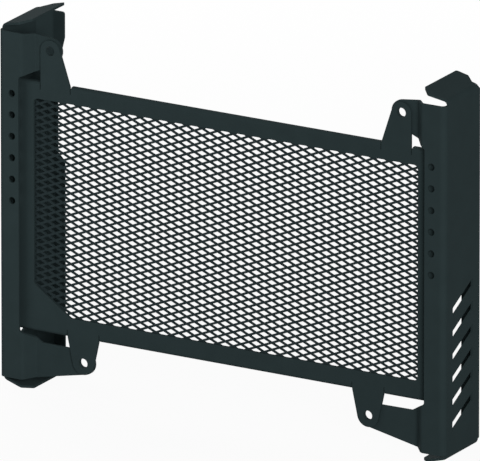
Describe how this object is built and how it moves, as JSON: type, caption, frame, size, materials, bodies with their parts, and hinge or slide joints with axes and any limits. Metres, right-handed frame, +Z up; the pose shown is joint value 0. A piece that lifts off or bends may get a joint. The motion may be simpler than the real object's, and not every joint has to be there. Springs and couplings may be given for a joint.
{
  "type": "motorcycle radiator guard",
  "caption": "Black powder-coated radiator guard: expanded-metal mesh in a folded frame with mounting ears, between two folded side covers with slanted vents.",
  "frame": {"origin": "under the middle of the guard's bounding box, level with the lower edges of the side covers' flaps", "axes": "+X to the right seen from the front, +Y back towards the radiator, +Z up"},
  "size_m": [0.41, 0.0682, 0.311],
  "materials": {
    "powder_coat": "satin",
    "mesh_coat": "satin"
  },
  "bodies": {
    "root": {"frame_plate": "powder_coat", "mesh": "mesh_coat", "left_side_cover": "powder_coat", "right_side_cover": "powder_coat"}
  },
  "joints": []
}
